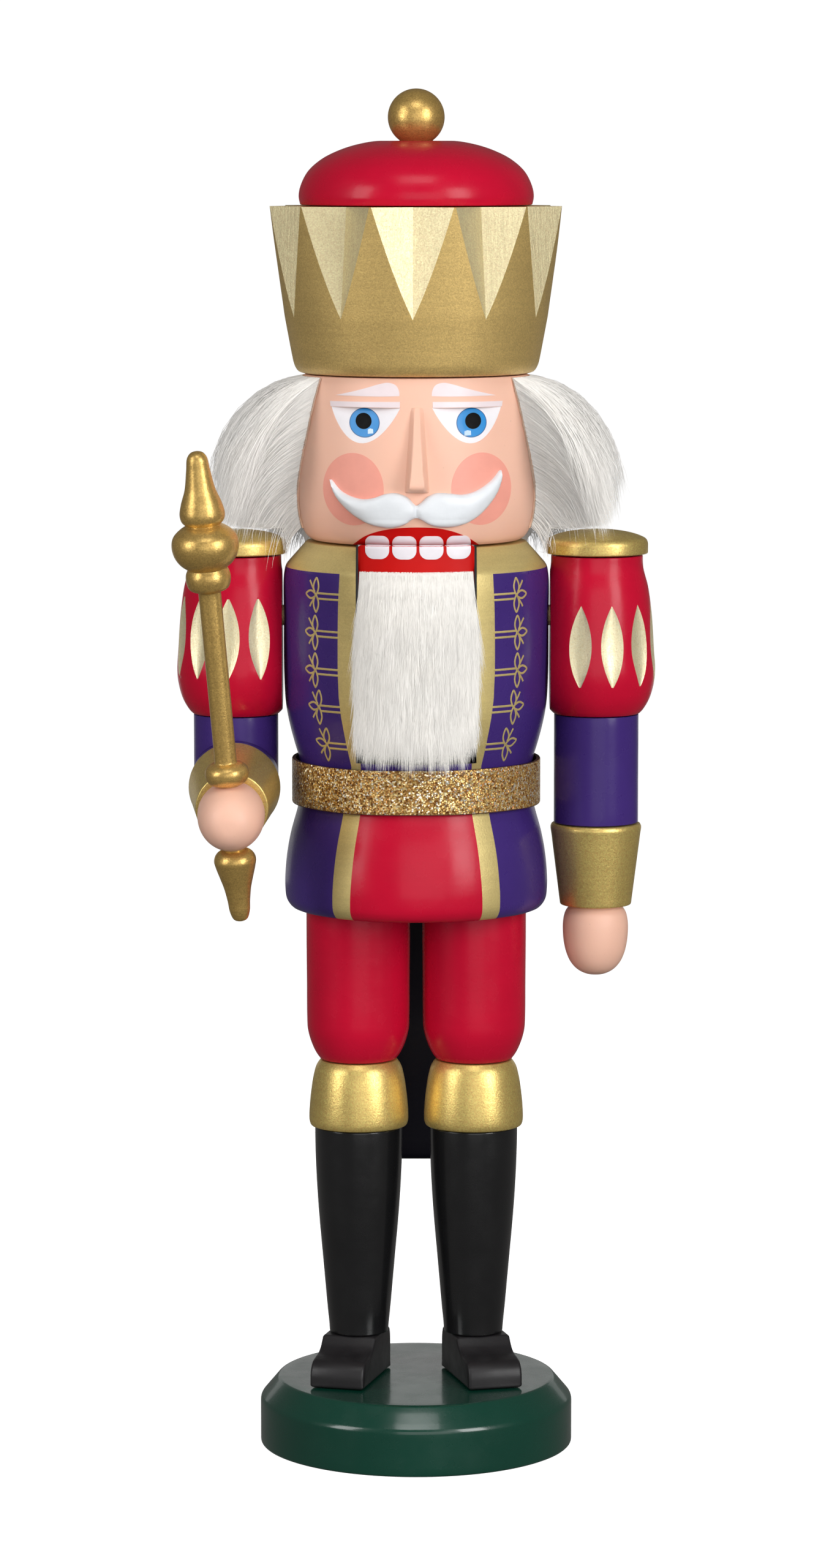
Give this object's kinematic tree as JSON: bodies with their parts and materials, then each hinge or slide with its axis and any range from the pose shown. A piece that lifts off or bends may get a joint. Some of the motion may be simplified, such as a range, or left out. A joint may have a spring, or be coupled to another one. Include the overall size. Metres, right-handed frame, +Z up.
{
  "type": "nutcracker figure",
  "caption": "Standing turned-wood nutcracker king in a crown, holding a scepter, with a fur beard and hair and a working jaw lever that opens as its tail behind the legs is lifted",
  "frame": {"origin": "centre of the round plinth's flat underside", "axes": "+Z up, along the figure's turning axis; the figure faces -Y; its left arm is at +X and its right arm, with the scepter, at -X"},
  "size_m": [0.1402, 0.1258, 0.4],
  "materials": {
    "green_lacquer": "gloss lacquer over turned wood, dark green",
    "crimson_lacquer": "satin-gloss lacquer over turned wood, crimson",
    "purple_lacquer": "satin-gloss lacquer over turned wood, deep purple with gold painted ornament",
    "black_gloss": "gloss lacquer over turned wood, black",
    "black_satin": "satin paint over sawn wood, black",
    "gold_paint": "metallic gold paint over turned wood",
    "skin_paint": "matte flesh paint over turned wood, with painted eyes, brows, cheeks and lips",
    "jaw_paint": "satin paint over sawn wood, red jaw with white teeth in front and near-black tail",
    "moustache_paint": "satin white paint over carved wood",
    "fur": "long white fur on a thin hide backing",
    "belt_strip": "bronze glitter on a dark brown backing strip",
    "bare_wood": "bare beech dowel",
    "pin_steel": "drawn wire"
  },
  "bodies": {
    "figure": {"base_plate": "green_lacquer", "belt": "belt_strip", "crown": "gold_paint", "crown_cap": "crimson_lacquer", "crown_knob": "gold_paint", "hair": "fur", "head": "skin_paint", "left_ankle_dowel": "bare_wood", "left_arm_dowel": "bare_wood", "left_boot": "black_gloss", "left_cuff": "gold_paint", "left_forearm": "purple_lacquer", "left_hand": "skin_paint", "left_hip_dowel": "bare_wood", "left_knee_cuff": "gold_paint", "left_knee_dowel": "bare_wood", "left_neck_dowel": "bare_wood", "left_shoe": "black_satin", "left_shoulder_cap": "gold_paint", "left_sleeve": "crimson_lacquer", "left_thigh": "crimson_lacquer", "lever_pin": "pin_steel", "moustache": "moustache_paint", "nose": "skin_paint", "right_ankle_dowel": "bare_wood", "right_arm_dowel": "bare_wood", "right_boot": "black_gloss", "right_cuff": "gold_paint", "right_elbow": "purple_lacquer", "right_forearm": "purple_lacquer", "right_hand": "skin_paint", "right_hip_dowel": "bare_wood", "right_knee_cuff": "gold_paint", "right_knee_dowel": "bare_wood", "right_neck_dowel": "bare_wood", "right_shoe": "black_satin", "right_shoulder_cap": "gold_paint", "right_sleeve": "crimson_lacquer", "right_thigh": "crimson_lacquer", "scepter": "gold_paint", "scepter_finial": "gold_paint", "torso": "purple_lacquer"},
    "lever": {"jaw_lever": "jaw_paint", "beard": "fur"}
  },
  "joints": [
    {"name": "jaw_hinge", "type": "hinge", "parent": "figure", "child": "lever", "pos_m": [0, 0.002, 0.215], "axis": [1, 0, 0], "range_deg": [0, 24]}
  ]
}
